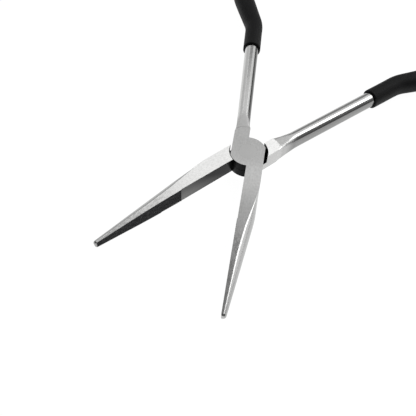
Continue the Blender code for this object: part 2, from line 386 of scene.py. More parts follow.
def jaw_width(reach):
    share = eased_ramp(reach, WIDTH_TAPER_START, JAW_REACH, WIDTH_TAPER_EASE)
    return mix(HEAD_HALF_WIDTH, JAW_TIP_WIDTH, share)


def jaw_half_thickness(reach):
    share = eased_ramp(reach, THICKNESS_TAPER_START, JAW_REACH, THICKNESS_TAPER_EASE)
    return mix(HEAD_THICKNESS, JAW_TIP_THICKNESS, share) / 2


def round_over(reach):
    grown = ROUND_OVER_WIDTH * smoothstep(reach, JAW_ROOT_REACH, ROUND_OVER_REACH)
    return min(grown, ROUND_OVER_MOST * jaw_width(reach))


def tip_scale(reach):
    into = ramp(reach, JAW_REACH - JAW_TIP_ROUNDING, JAW_REACH)
    return mix(JAW_END_SCALE, 1.0, math.sqrt(max(0.0, 1 - into * into)))


def ridge_rounding(reach, angle, settings):
    """Width of the rounding between the ground flat and the round side, which meet at
    this angle."""
    grown = smoothstep(reach, RIDGE_START_REACH, RIDGE_FULL_REACH)
    flat = jaw_width(reach) - round_over(reach)
    full = min(
        settings.ridge_radius * math.tan(angle / 2),
        RIDGE_MOST_OF_DEPTH * jaw_half_thickness(reach),
        RIDGE_MOST_OF_FLAT * flat,
    )
    return mix(RIDGE_LEAST, full, grown)


def triangle_wave(value):
    """0 at whole numbers and 1 half-way between them."""
    return 1 - abs(2 * (value - math.floor(value)) - 1)


def tooth_depth(reach, height, settings):
    """How far the toothed face lies under its crests: truncated pyramids between two
    families of slanting grooves."""
    pitch = settings.tooth_pitch
    edge = jaw_half_thickness(reach) - abs(height)
    cut_through = height > 0 and reach < EDGE_TEETH_END
    kept = 1.0 if cut_through else smoothstep(edge, *TOOTH_FADE)
    first = triangle_wave((reach + height) / pitch)
    second = triangle_wave((reach - height) / pitch)
    return kept * settings.tooth_depth * (1 - min(1.0, GROOVE_STEEPNESS * min(first, second)))


def jaw_ring(reach, face, toothed, settings):
    """The section across the jaw: over the top flat, round the side, back along the
    bottom flat and up the inner face."""
    scale = tip_scale(reach)
    centre = face + (jaw_width(reach) - face) / 2
    half = jaw_half_thickness(reach) * scale
    outer = centre + (jaw_width(reach) - centre) * scale
    inner = centre - (centre - face) * scale
    round_width = round_over(reach) * scale
    flat = outer - round_width
    end = JAW_SIDE_ARC / 2

    def inner_x(height):
        return inner + (tooth_depth(reach, height, settings) if toothed else 0.0)

    def side_point(share):
        angle = end * (1 - 2 * share)
        bulge = (math.cos(angle) - math.cos(end)) / (1 - math.cos(end))
        return Vector((flat + round_width * bulge, half * math.sin(angle) / math.sin(end)))

    little = 0.01
    leave = (side_point(little) - side_point(0.0)) / little
    rounding = ridge_rounding(reach, math.atan2(-leave.y, leave.x), settings) * scale
    share = min(RIDGE_MOST_OF_SIDE, rounding / leave.length)
    start = Vector((flat - rounding, half))
    corner = Vector((flat, half))
    stop = side_point(share)
    roundness = smoothstep(reach, JAW_ROOT_REACH, RIDGE_START_REACH)
    ridge = []
    for i in range(RIDGE_SEGMENTS):
        t = i / RIDGE_SEGMENTS
        sharp = start.lerp(corner, 2 * t) if 2 * t < 1 else corner.lerp(stop, 2 * t - 1)
        curved = (1 - t) ** 2 * start + 2 * t * (1 - t) * corner + t * t * stop
        ridge.append(sharp.lerp(curved, roundness))
    ring = [(inner_x(half), half)]
    ring += ridge
    ring += [side_point(at) for at in spaced(share, 1 - share, (1 - 2 * share) / SIDE_SEGMENTS)]
    ring += [(point.x, -point.y) for point in reversed(ridge)]
    ring.append((inner_x(-half), -half))
    for i in range(1, FACE_COLUMNS):
        height = half * (2 * i / FACE_COLUMNS - 1)
        ring.append((inner_x(height), height))
    return [Vector((x, -reach, MID + z)) for x, z in ring]


def jaw_rings(settings):
    face = CLOSED_GAP / 2
    smooth = face + FACE_RELIEF
    teeth_end = JAW_REACH - JAW_TIP_ROUNDING
    smooth_reaches = spaced(JAW_ROOT_REACH, TEETH_START - SEAM_STEP, JAW_STEP)
    tip_reaches = spaced(teeth_end + SEAM_STEP, JAW_REACH, JAW_TIP_ROUNDING / JAW_TIP_RINGS)
    rings = [jaw_ring(reach, smooth, False, settings) for reach in smooth_reaches]
    rings += [jaw_ring(r, face, True, settings) for r in spaced(TEETH_START, teeth_end, TOOTH_STEP)]
    rings += [jaw_ring(reach, face, False, settings) for reach in tip_reaches]
    return rings


def handle_line(distance):
    """(point, heading) on the handle's centre line, this far along it from the rivet."""
    runs = [
        (BEND_START, 0.0),
        (BEND_RADIUS * BEND_ANGLE, 1 / BEND_RADIUS),
        (BEND_TO_BOW, 0.0),
        (math.inf, -1 / BOW_RADIUS),
    ]
    point = Vector((-SHANK_ROOT_CENTRE, 0.0))
    heading = SHANK_SPLAY
    for length, curvature in runs:
        part = min(length, distance)
        turn = part * curvature
        chord = part if turn == 0 else 2 * math.sin(turn / 2) / curvature
        middle = heading + turn / 2
        point = point + Vector((-math.sin(middle), math.cos(middle))) * chord
        heading += turn
        distance -= part
        if distance <= 0:
            break
    return point, heading


def handle_ring(distance, outline):
    """Places a section's (across, up) points square to the handle's line."""
    point, heading = handle_line(distance)
    across = Vector((math.cos(heading), math.sin(heading)))
    ring = []
    for offset, up in outline:
        spot = point + across * offset
        ring.append(Vector((spot.x, spot.y, MID + up)))
    return ring


def rounded_box(width, depth, corner, squareness=0.0):
    """(across, up) points round a box with rounded corners, or square ones with the same
    number of points."""
    corner = min(corner, 0.47 * width, 0.47 * depth)
    outline = []
    for quarter in range(4):
        side = 1 if quarter in (0, 3) else -1
        top = 1 if quarter < 2 else -1
        for i in range(CORNER_SEGMENTS + 1):
            angle = math.pi / 2 * (quarter + i / CORNER_SEGMENTS)
            c, s = math.cos(angle), math.sin(angle)
            reach = corner * mix(1.0, 1 / max(abs(c), abs(s)), squareness)
            across = side * (width / 2 - corner) + reach * c
            up = top * (depth / 2 - corner) + reach * s
            outline.append((across, up))
    return outline


def tang_end():
    return GRIP_START + GRIP_LENGTH - GRIP_END_WALL


def steel_section(distance):
    """(width, depth, corner radius) of the shank and tang."""
    along = ramp(distance, TAIL_REACH, GRIP_START)
    inside = ramp(distance, GRIP_START, tang_end())
    width = mix(mix(SHANK_ROOT_WIDTH, SHANK_WIDTH, along), TANG_END_WIDTH, inside)
    root_depth = HEAD_THICKNESS - 2 * SHANK_STEP
    depth = mix(mix(root_depth, SHANK_DEPTH, along), TANG_END_DEPTH, inside)
    corner = mix(SHANK_ROOT_CORNER, SHANK_CORNER, smoothstep(distance, TAIL_REACH, ROUND_BY))
    return width, depth, corner


def tail_ring():
    """The square end of the head, which falls back towards the outer side."""
    inner, outer = -TAIL_GAP / 2, -HEAD_HALF_WIDTH
    width = inner - outer
    ring = []
    for across, up in rounded_box(width, HEAD_THICKNESS, TAIL_CORNER, squareness=1.0):
        share = (width / 2 - across) / width
        y = TAIL_REACH - TAIL_ROUNDING * share**4
        ring.append(Vector(((inner + outer) / 2 + across, y, MID + up)))
    return ring


def shank_ring(distance):
    return handle_ring(distance, rounded_box(*steel_section(distance)))


def shank_rings():
    """The neck sweeps in from the square end of the head, then the shank and tang run on."""
    tail = tail_ring()
    rings = [tail]
    for i in range(1, NECK_RINGS):
        share = (i / NECK_RINGS) ** NECK_SPACING
        target = shank_ring(TAIL_REACH + share * NECK_LENGTH)
        blend = 1 - (1 - share) ** 3
        rings.append([a.lerp(b, blend) for a, b in zip(tail, target)])
    rings += [shank_ring(d) for d in spaced(TAIL_REACH + NECK_LENGTH, tang_end(), HANDLE_STEP)]
    return rings


# ---------------------------------------------------------------- meshes


def mesh_of(bm, name):
    bmesh.ops.recalc_face_normals(bm, faces=bm.faces)
    mesh = bpy.data.meshes.new(name)
    bm.to_mesh(mesh)
    bm.free()
    return mesh


def add_tube(bm, rings):
    made = [[bm.verts.new(point) for point in ring] for ring in rings]
    for near, far in zip(made, made[1:]):
        count = len(near)
        for i in range(count):
            j = (i + 1) % count
            bm.faces.new((near[i], near[j], far[j], far[i]))
    return made


def boss_arc(start, end):
    return [
        Vector((BOSS_RADIUS * math.cos(a), BOSS_RADIUS * math.sin(a)))
        for a in spaced(start, end, BOSS_STEP)
    ]


def blank_mesh(settings):
    """One forging, closed, before its lap and its rivet hole are cut."""
    bm = bmesh.new()
    rings = jaw_rings(settings)
    jaw = add_tube(bm, rings)
    bm.faces.new(jaw[-1])
    shank = add_tube(bm, shank_rings())
    bm.faces.new(shank[-1])

    inner_face = rings[0][0].x
    shoulder = math.acos(HEAD_HALF_WIDTH / BOSS_RADIUS)
    tail_angle = math.acos(-TAIL_GAP / 2 / BOSS_RADIUS)
    sides = [
        boss_arc(shoulder, tail_angle),
        boss_arc(math.pi + shoulder, math.tau - math.acos(inner_face / BOSS_RADIUS)),
    ]
    (right_top, right_low), (left_top, left_low) = (
        [[bm.verts.new((p.x, p.y, z)) for p in side] for z in (HEAD_THICKNESS, 0.0)]
        for side in sides
    )
    root, tail = jaw[0], shank[0]
    last_side = len(root) - FACE_COLUMNS  # the inner face's bottom corner
    near = 1e-7
    tail_top = sorted((v for v in tail if v.co.z > HEAD_THICKNESS - near), key=lambda v: -v.co.x)
    tail_low = sorted((v for v in tail if v.co.z < near), key=lambda v: -v.co.x)
    tail_inner = sorted((v for v in tail if v.co.x > -TAIL_GAP / 2 - near), key=lambda v: v.co.z)
    tail_outer = sorted((v for v in tail if v.co.x < -HEAD_HALF_WIDTH + near), key=lambda v: v.co.z)

    corner = 1 + RIDGE_SEGMENTS // 2
    low_corner = last_side - corner
    bm.faces.new(root[: corner + 1] + right_top + tail_top + left_top)
    bm.faces.new(list(reversed(root[low_corner : last_side + 1])) + right_low + tail_low + left_low)
    bm.faces.new(list(reversed(root[corner : low_corner + 1])) + [right_top[0], right_low[0]])
    bm.faces.new([root[0]] + list(reversed(root[last_side:])) + [left_low[-1], left_top[-1]])
    bm.faces.new([right_low[-1]] + tail_inner + [right_top[-1]])
    bm.faces.new([left_low[0]] + tail_outer + [left_top[0]])
    for tops, lows in ((right_top, right_low), (left_top, left_low)):
        for i in range(len(tops) - 1):
            bm.faces.new((tops[i], tops[i + 1], lows[i + 1], lows[i]))
    return mesh_of(bm, "blank")


def capped_tube(name, rings):
    bm = bmesh.new()
    made = add_tube(bm, rings)
    bm.faces.new(made[0])
    bm.faces.new(made[-1])
    return mesh_of(bm, name)


def round_ring(radius_at, z):
    """Points round Z, at a radius that depends on the angle."""
    ring = []
    for i in range(ROUND_SEGMENTS):
        angle = math.tau * i / ROUND_SEGMENTS
        radius = radius_at(angle)
        ring.append(Vector((radius * math.cos(angle), radius * math.sin(angle), z)))
    return ring


def turned_mesh(name, profile):
    """A solid turned about Z from (radius, height) points."""
    return capped_tube(name, [round_ring(lambda angle: radius, z) for radius, z in profile])


def lap_room_mesh(low, high):
    """The round room that the other half's boss turns in, wider beside the neck."""

    def radius_at(angle):
        beside_neck = smoothstep(math.sin(angle), -0.3, 0.3)
        return BOSS_RADIUS + mix(JAW_SIDE_CLEARANCE, NECK_SIDE_CLEARANCE, beside_neck)

    return capped_tube("lap_room", [round_ring(radius_at, z) for z in (low, high)])


def rivet_profile(clearance, overshoot):
    body = RIVET_DIAMETER / 2 + clearance
    head = RIVET_HEAD_DIAMETER / 2 + clearance
    slope = (RIVET_HEAD_DIAMETER - RIVET_DIAMETER) / 2 / RIVET_HEAD_DEPTH
    edge = head + slope * overshoot
    return [
        (edge, -overshoot),
        (body, RIVET_HEAD_DEPTH),
        (body, HEAD_THICKNESS - RIVET_HEAD_DEPTH),
        (edge, HEAD_THICKNESS + overshoot),
    ]


def shown(name, mesh):
    obj = bpy.data.objects.new(name, mesh)
    bpy.context.scene.collection.objects.link(obj)
    return obj


def settle(obj):
    """Gives the object the mesh that its modifiers make, and clears them."""
    bpy.context.view_layer.update()
    graph = bpy.context.evaluated_depsgraph_get()
    made = bpy.data.meshes.new_from_object(obj.evaluated_get(graph), depsgraph=graph)
    obj.modifiers.clear()
    old, obj.data = obj.data, made
    bpy.data.meshes.remove(old)


def cut_away(obj, meshes):
    """Cuts each of these closed meshes out of the object."""
    cutters = [shown("cutter", mesh) for mesh in meshes]
    for cutter in cutters:
        modifier = obj.modifiers.new("cut", "BOOLEAN")
        modifier.operation = "DIFFERENCE"
        modifier.solver = "EXACT"
        modifier.object = cutter
    settle(obj)
    for cutter in cutters:
        mesh = cutter.data
        bpy.data.objects.remove(cutter)
        bpy.data.meshes.remove(mesh)


def break_edges(obj, settings):
    """Lightly rounds the edges of the head, of the lap and of the smooth inner face."""
    bm = bmesh.new()
    bm.from_mesh(obj.data)
    weights = bm.edges.layers.float.new("bevel_weight_edge")
    for edge in bm.edges:
        if len(edge.link_faces) != 2 or not edge.is_convex:
            continue
        if edge.calc_face_angle(0.0) < BREAK_ANGLE:
            continue
        middle = (edge.verts[0].co + edge.verts[1].co) / 2
        reach = -middle.y
        in_bore = math.hypot(middle.x, middle.y) < RIVET_HEAD_DIAMETER / 2 + 1.0 * MM
        on_ridge = reach > HEAD_HALF_WIDTH and middle.x > 0.6 * MM
        by_teeth = reach > TEETH_START - 1.0 * MM
        if not (in_bore or on_ridge or by_teeth):
            edge[weights] = 1.0
    bm.to_mesh(obj.data)
    bm.free()
    modifier = obj.modifiers.new("edges", "BEVEL")
    modifier.limit_method = "WEIGHT"
    modifier.width = settings.edge_break
    modifier.segments = BREAK_SEGMENTS
    modifier.use_clamp_overlap = True
    modifier.miter_outer = "MITER_ARC"
    settle(obj)


def place_matrix(side):
    """How a closed half is turned over and swung to where it stands."""
    height, flip, swing = SIDES[side]
    turned = Euler((0, flip, swing * OPENING)).to_matrix().to_4x4()
    return Matrix.Translation((0, 0, height)) @ turned


def write_points(mesh, name, vectors):
    layer = mesh.attributes.new(name, "FLOAT_VECTOR", "POINT")
    layer.data.foreach_set("vector", [number for vector in vectors for number in vector])


def write_faces(mesh, name, values):
    mesh.attributes.new(name, "FLOAT", "FACE").data.foreach_set("value", values)


def mark_place(mesh):
    """Records where each vertex lies now, in millimetres, for the finishes."""
    write_points(mesh, "closed_place", [vertex.co / MM for vertex in mesh.vertices])


def mark_zones(mesh, settings):
    """Marks each face of a closed half: ground flat, toothed, near-black round the joint, darkened
    by painted shade between the necks, or on the smooth part of the inner face."""
    write_points(mesh, "closed_normal", [vertex.normal for vertex in mesh.vertices])
    crest = CLOSED_GAP / 2
    valley = crest + settings.tooth_depth
    smooth_face = crest + FACE_RELIEF
    slack = 0.15 * MM
    level_within, ceiling_height = 0.98, MID + LAP_CLEARANCE / 2
    ground, toothed, oxide_and_shade, inner = [], [], [], []
    for face in mesh.polygons:
        spot, normal = face.center, face.normal
        reach = -spot.y
        radius = math.hypot(spot.x, spot.y)
        level = abs(normal.z) > level_within
        on_side_face = min(spot.z, HEAD_THICKNESS - spot.z) < 0.05 * MM
        on_tapered_flat = (
            reach > THICKNESS_TAPER_START - THICKNESS_TAPER_EASE
            and abs(spot.z - MID) > 0.95 * jaw_half_thickness(reach)
        )
        ground.append(float(level and (on_side_face or on_tapered_flat)))

        in_teeth = TEETH_START - 0.1 * MM < reach < JAW_REACH - 0.8 * MM
        toothed.append(float(in_teeth and spot.x < valley + 0.02 * MM and normal.x < -0.1))

        in_lap = BOSS_RADIUS - slack < radius < BOSS_RADIUS + NECK_SIDE_CLEARANCE + slack
        on_lap_wall = in_lap and abs(normal.z) < 0.5 and abs(spot.x) < HEAD_HALF_WIDTH - 0.01 * MM
        on_lap_ceiling = abs(spot.z - ceiling_height) < 0.02 * MM and normal.z < -0.9
        in_bore = radius < RIVET_HEAD_DIAMETER / 2 + 0.3 * MM and not level
        if on_lap_wall or on_lap_ceiling or in_bore:
            oxide_and_shade.append(1.0)
        # Painted shade on the inner faces between the necks
        elif spot.y > 0 and spot.x > -TAIL_GAP and normal.x > 0.9:
            oxide_and_shade.append(BETWEEN_NECKS_SHADE)
        else:
            oxide_and_shade.append(0.0)

        on_inner_face = spot.x < smooth_face + 0.25 * MM and normal.x < -0.2
        inner.append(float(9 * MM < reach < TEETH_START and on_inner_face))
    write_faces(mesh, "ground", ground)
    write_faces(mesh, "toothed", toothed)
    write_faces(mesh, "oxide_and_shade", oxide_and_shade)
    write_faces(mesh, "inner_face", inner)


def smooth_off(obj, angle):
    """Smooth shading whose flats stay flat."""
    obj.data.shade_smooth()
    obj.data.set_sharp_from_angle(angle=angle)
    modifier = obj.modifiers.new("normals", "WEIGHTED_NORMAL")
    modifier.keep_sharp = True
    modifier.weight = NORMAL_WEIGHT
    settle(obj)


def grip_section(into):
    """(width, depth) of the grip's outside, this far from its rim."""
    rim_width = SHANK_WIDTH + 2 * (GRIP_WALL + GRIP_CLEARANCE)
    rim_depth = SHANK_DEPTH + 2 * (GRIP_WALL + GRIP_CLEARANCE)
    palm = smoothstep(into, GRIP_SWELL_START, GRIP_SWELL_END)
    width = mix(rim_width, max(GRIP_WIDTH, rim_width), palm)
    depth = mix(rim_depth, max(GRIP_DEPTH, rim_depth), palm)
    at_rim = ramp(into, 0, GRIP_RIM_ROUNDING)
    trim = GRIP_RIM_ROUNDING * (1 - math.sqrt(max(0.0, 1 - (1 - at_rim) ** 2)))
    at_end = ramp(into, GRIP_LENGTH - GRIP_END_ROUNDING, GRIP_LENGTH)
    taper = mix(GRIP_END_SCALE, 1.0, math.sqrt(max(0.0, 1 - at_end * at_end)))
    return (width - trim) * taper, (depth - trim) * taper


def grip_mesh():
    """A closed-ended sleeve over the tang, from its closed end to its rim and back in."""
    end_start = GRIP_LENGTH - GRIP_END_ROUNDING
    outside = [GRIP_RIM_ROUNDING * i / GRIP_RIM_RINGS for i in range(GRIP_RIM_RINGS)]
    outside += spaced(GRIP_RIM_ROUNDING, end_start, GRIP_STEP)
    for i in range(1, GRIP_END_RINGS + 1):
        short_of_end = 1 - math.sin(math.pi / 2 * i / GRIP_END_RINGS)
        outside.append(GRIP_LENGTH - GRIP_END_ROUNDING * short_of_end)
    rings = []
    for into in reversed(outside):
        width, depth = grip_section(into)
        rings.append(handle_ring(GRIP_START + into, rounded_box(width, depth, width / 2)))
    for into in spaced(0.0, tang_end() - GRIP_START, SLEEVE_STEP):
        width, depth, corner = steel_section(GRIP_START + into)
        room = 2 * GRIP_CLEARANCE
        section = rounded_box(width + room, depth + room, corner + GRIP_CLEARANCE)
        rings.append(handle_ring(GRIP_START + into, section))
    rings.append(handle_ring(tang_end() + GRIP_CLEARANCE, section))
    return capped_tube("grip", rings)


# ---------------------------------------------------------------- finishes


class Signal:
    """A socket's value. Adding, subtracting or multiplying it adds a Math node."""

    def __init__(self, finish, socket):
        self.finish = finish
        self.socket = socket

    def _math(self, operation, *values):
        return self.finish.node("ShaderNodeMath", {"operation": operation}, dict(enumerate(values)))

    def __add__(self, other):
        return self._math("ADD", self, other)

    def __radd__(self, other):
        return self._math("ADD", other, self)

    def __sub__(self, other):
        return self._math("SUBTRACT", self, other)

    def __rsub__(self, other):
        return self._math("SUBTRACT", other, self)

    def __mul__(self, other):
        return self._math("MULTIPLY", self, other)

    def __rmul__(self, other):
        return self._math("MULTIPLY", other, self)


class Finish:
    """One material and the nodes that colour it."""

    def __init__(self, name):
        self.material = bpy.data.materials.new(name)
        self.material.use_nodes = True
        self.tree = self.material.node_tree
        self.shader = self.tree.nodes["Principled BSDF"]

    def feed(self, socket, value):
        if isinstance(value, Signal):
            self.tree.links.new(value.socket, socket)
        else:
            socket.default_value = value

    def node(self, kind, settings=None, sockets=None, output=0):
        """Adds a node with its settings set first, then the values or links of its sockets."""
        made = self.tree.nodes.new(kind)
        for name, value in (settings or {}).items():
            setattr(made, name, value)
        for name, value in (sockets or {}).items():
            self.feed(made.inputs[name], value)
        return Signal(self, made.outputs[output])

    def mask(self, name):
        return self.node("ShaderNodeAttribute", {"attribute_name": name}, output="Fac")

    def point(self, name):
        return self.node("ShaderNodeAttribute", {"attribute_name": name}, output="Vector")

    def axis(self, vector, index):
        return self.node("ShaderNodeSeparateXYZ", None, {0: vector}, output=index)

    def between(self, value, start, end):
        """0 where the value is before start and 1 past end, easing between them."""
        return self.node(
            "ShaderNodeMapRange",
            {"interpolation_type": "SMOOTHSTEP"},
            {"Value": value, "From Min": start, "From Max": end},
        )

    def blend(self, share, first, second):
        """Mixes two colours."""
        return self.node(
            "ShaderNodeMix",
            {"data_type": "RGBA"},
            {0: share, 6: as_colour(first), 7: as_colour(second)},
            output=2,
        )

    def tint(self, colour, brightness):
        """A colour made lighter or darker by a value."""
        sockets = {0: tuple(colour), "Scale": brightness}
        return self.node("ShaderNodeVectorMath", {"operation": "SCALE"}, sockets)

    def relief(self, height):
        """A Bump for a height in metres."""
        sockets = {"Strength": 1.0, "Distance": 1.0, "Height": height}
        return self.node("ShaderNodeBump", None, sockets)

    def noise(self, place, scale, **sockets):
        """Fractal noise; scale is in cells per unit of place, along each axis."""
        multiply = {"operation": "MULTIPLY"}
        stretched = self.node("ShaderNodeVectorMath", multiply, {0: place, 1: scale})
        values = {"Vector": stretched, "Scale": 1.0, "Detail": 2.0, "Roughness": 0.5}
        values.update({name.replace("_", " ").title(): value for name, value in sockets.items()})
        return self.node("ShaderNodeTexNoise", None, values, output="Fac")

    def set(self, **sockets):
        for name, value in sockets.items():
            label = name.replace("_", " ").title().replace("Ior", "IOR")
            self.feed(self.shader.inputs[label], value)


def as_colour(value):
    return value if isinstance(value, Signal) else (*value, 1.0)


def ground_grain(finish, place):
    """(clouds, tone, height) of steel ground along its length."""
    clouds = finish.noise(place, (0.12, 0.09, 0.12), detail=3.0)
    streaks = finish.noise(place, (2.2, 0.05, 2.2), detail=3.0)
    fine = finish.noise(place, (7.0, 0.16, 7.0), detail=2.0)
    tone = 0.9 + 0.16 * clouds + 0.07 * (streaks - 0.5)
    height = (fine * 0.012 + streaks * 0.010) * MM
    return clouds, tone, height


def satin_steel(settings, side):
    """Ground flats, rounder and smoother sides, near-black teeth and joint walls, with painted
    light
    and shade: each half's flats painted lighter or darker, shank sides darkened by which way they
    face, jaw sides by a set tone, and painted shade in the tooth valleys, on the inner face and
    between the necks.
    """
    finish = Finish(f"satin_steel_{side}")
    back_tone, root_tone, tip_tone, fade_start, fade_end = GROUND_PAINTED_LIGHT[side]
    outer_tone, inner_tone, jaw_tone = SIDE_PAINTED_SHADE[side]
    place = finish.point("closed_place")
    x, y, z = (finish.axis(place, index) for index in range(3))
    ground, toothed = finish.mask("ground"), finish.mask("toothed")
    oxide_and_shade, inner = finish.mask("oxide_and_shade"), finish.mask("inner_face")
    reach = 0.0 - y

    clouds, grain_tone, grain_height = ground_grain(finish, place)
    blotches = finish.noise(place, (0.8, 0.45, 0.8), detail=4.0, roughness=0.7)
    far_out = finish.between(reach, *STAIN_STARTS) * (1.0 - finish.between(reach, *STAIN_ENDS))
    stained = finish.between(blotches, 0.44, 0.58) * far_out * ground

    # Painted light: the flats' brightness is set per half, behind the rivet, at the jaw's root and
    # towards its tip
    painted_ground_light = back_tone + (root_tone - back_tone) * finish.between(reach, *HEAD_BAND)
    painted_ground_light = painted_ground_light + (tip_tone - root_tone) * finish.between(reach, fade_start, fade_end)
    # Painted shade: the shanks' sides are darkened by which way they face, and the jaws' round
    # sides by a set tone per half
    facing = finish.axis(finish.point("closed_normal"), 0)
    on_shank = finish.between(y, *SHANK_BAND)
    on_jaw = finish.between(reach, *JAW_BAND)
    painted_side_shade = 1.0 + (jaw_tone - 1.0) * on_jaw
    painted_side_shade = painted_side_shade - (1.0 - inner_tone) * on_shank * finish.between(facing, 0.5, 0.68)
    painted_side_shade = painted_side_shade - (1.0 - outer_tone) * on_shank * finish.between(0.0 - facing, 0.6, 0.85)
    speckle = finish.noise(place, (1.2, 0.7, 1.2), detail=3.0, roughness=0.6)
    tone = grain_tone * (painted_side_shade + (painted_ground_light - painted_side_shade) * ground)
    tone = tone * (1.0 + 0.5 * (speckle - 0.5) * (0.4 + 0.6 * ground))
    steel = finish.tint(settings.steel_colour, tone)
    dull = tuple(0.42 * c for c in settings.steel_colour)
    steel = finish.blend(stained * STAIN_DEPTHS[side], steel, dull)
    # The smooth inner face is darkened towards the near-black colour by a fixed share, and further
    # by painted shade towards the joint and towards the bottom
    near_joint = 1.0 - finish.between(reach, *JOINT_SHADE_BAND)
    shaded = 1.0 - finish.between(z, *FACE_SHADE_BAND)
    inner_face_shade = inner * (0.62 + 0.38 * near_joint + 0.16 * shaded)
    steel = finish.blend(inner_face_shade, steel, settings.oxide_and_shade_colour)

    # Painted shade in the teeth: the valleys take the near-black shade colour, and the crests are
    # painted lighter, varied at random like wear
    top = CLOSED_GAP / 2 / MM
    bottom = top + settings.tooth_depth / MM
    low = finish.between(x, top, bottom)
    crest_light_and_wear = (1.0 - finish.between(low, 0.0, 0.35)) * (0.5 + 0.8 * (blotches - 0.3))
    tooth = finish.blend(crest_light_and_wear, settings.tooth_shade_colour, tuple(4.5 * c for c in settings.tooth_shade_colour))
    steel = finish.blend(toothed, steel, tooth)
    # Near-black joint walls and rivet bore, and painted shade on the faces between the necks
    steel = finish.blend(oxide_and_shade, steel, settings.oxide_and_shade_colour)

    neck = finish.between(y, *NECK_STARTS) * (1.0 - finish.between(y, *NECK_ENDS))
    rougher = settings.jaw_roughness - settings.polished_roughness
    side_roughness = settings.polished_roughness + rougher * on_jaw + 0.3 * neck
    roughness = side_roughness + (settings.ground_roughness - side_roughness) * ground
    roughness = roughness + 0.10 * (clouds - 0.5)
    roughness = roughness + 0.12 * stained + 0.22 * toothed + 0.2 * oxide_and_shade
    grain = finish.relief(grain_height * (0.06 + 0.08 * on_jaw + 0.75 * ground))
    finish.set(metallic=1.0, base_color=steel, roughness=roughness, normal=grain)
    return finish.material


def rivet_steel(settings):
    """The rivet's end faces are ground with the head, so they keep its grain; each end also takes
    the painted light of its half's flats behind the rivet.
    """
    finish = Finish("rivet_steel")
    place = finish.point("closed_place")
    clouds, grain_tone, grain_height = ground_grain(finish, place)
    # Painted light: each end face takes the painted brightness of its half's flats behind the rivet
    low_tone, high_tone = GROUND_PAINTED_LIGHT["lower"][0], GROUND_PAINTED_LIGHT["upper"][0]
    upper_end = finish.between(finish.axis(place, 2), *RIVET_BAND)
    end_tone = low_tone + (high_tone - low_tone) * upper_end
    finish.set(
        metallic=1.0,
        base_color=finish.tint(settings.steel_colour, grain_tone * end_tone),
        roughness=settings.ground_roughness + 0.10 * (clouds - 0.5),
        normal=finish.relief(grain_height),
    )
    return finish.material


def grip_black(settings):
    """Matte moulded vinyl with a fine pebbled grain."""
    finish = Finish("grip_black")
    place = finish.point("closed_place")
    pebbles = finish.node(
        "ShaderNodeTexVoronoi",
        {"feature": "SMOOTH_F1"},
        {"Vector": place, "Scale": 2.6, "Smoothness": 0.6},
        output="Distance",
    )
    dust = finish.noise(place, (3.5, 3.5, 3.5), detail=3.0)
    clouds = finish.noise(place, (0.06, 0.06, 0.06), detail=3.0)
    tone = 0.75 + 0.35 * clouds + 0.5 * finish.between(dust, 0.55, 0.75)
    finish.set(
        base_color=finish.tint(settings.grip_colour, tone),
        roughness=settings.grip_roughness + 0.16 * (clouds - 0.5),
        specular_ior_level=0.2,
        normal=finish.relief((pebbles * 0.8 + dust * 0.5) * settings.grain_depth),
    )
    return finish.material


# ---------------------------------------------------------------- the pieces


def ride(obj, side, node):
    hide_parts(node)
    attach(obj, f"{side}_half")


class PLIERS_OT_halves(bpy.types.Operator):
    """Build both steel halves: jaw, lap joint, shank and tang in one forging each"""

    bl_idname = "pliers.halves"
    bl_label = "Steel Halves"

    def execute(self, context):
        settings = context.scene.pliers_forgings
        lap_ceiling = MID + LAP_CLEARANCE / 2
        for side in SIDES:
            obj = shown(f"{side}_forging", blank_mesh(settings))
            cut_away(
                obj,
                [
                    lap_room_mesh(LAP_ROOM_LOW, lap_ceiling),
                    turned_mesh("rivet_hole", rivet_profile(RIVET_CLEARANCE, 1 * MM)),
                ],
            )
            break_edges(obj, settings)
            mark_place(obj.data)
            mark_zones(obj.data, settings)
            obj.data.transform(place_matrix(side))
            smooth_off(obj, SHARP_ANGLE)
            obj.data.materials.clear()
            obj.data.materials.append(satin_steel(settings, side))
            ride(obj, side, f"{side}_jaw_and_handle")
        return {"FINISHED"}


class PLIERS_OT_rivet(bpy.types.Operator):
    """Build the rivet, ground flush with both side faces"""

    bl_idname = "pliers.rivet"
    bl_label = "Rivet"

    def execute(self, context):
        settings = context.scene.pliers_forgings
        profile = rivet_profile(RIVET_CLEARANCE - RIVET_SEAM, 0.0)
        obj = shown("joint_rivet", turned_mesh("joint_rivet", profile))
        mark_place(obj.data)
        obj.data.transform(Matrix.Rotation(OPENING / 2, 4, "Z"))
        smooth_off(obj, SHARP_ANGLE)
        obj.data.materials.append(rivet_steel(settings))
        ride(obj, "upper", "pivot_rivet")
        return {"FINISHED"}


class PLIERS_OT_grips(bpy.types.Operator):
    """Build the two moulded grips over the tangs"""

    bl_idname = "pliers.grips"
    bl_label = "Grips"

    def execute(self, context):
        finish = grip_black(context.scene.pliers_grips)
        for side in SIDES:
            obj = shown(f"{side}_sleeve", grip_mesh())
            mark_place(obj.data)
            obj.data.transform(place_matrix(side))
            smooth_off(obj, GRIP_SHARP_ANGLE)
            obj.data.materials.append(finish)
            ride(obj, side, f"{side}_grip")
        return {"FINISHED"}


# ---------------------------------------------------------------- the studio

CAMERA_AZIMUTH = math.radians(28.195)
CAMERA_ELEVATION = math.radians(55.432)
CAMERA_ROLL = math.radians(3.487)
CAMERA_DISTANCE = 321.0 * MM
CAMERA_LENS = 50.954
CAMERA_ASIDE = Vector((21.82, 31.02)) * MM
FLOOR_SIZE = 16.0
FLOOR_GLOW = 0.98

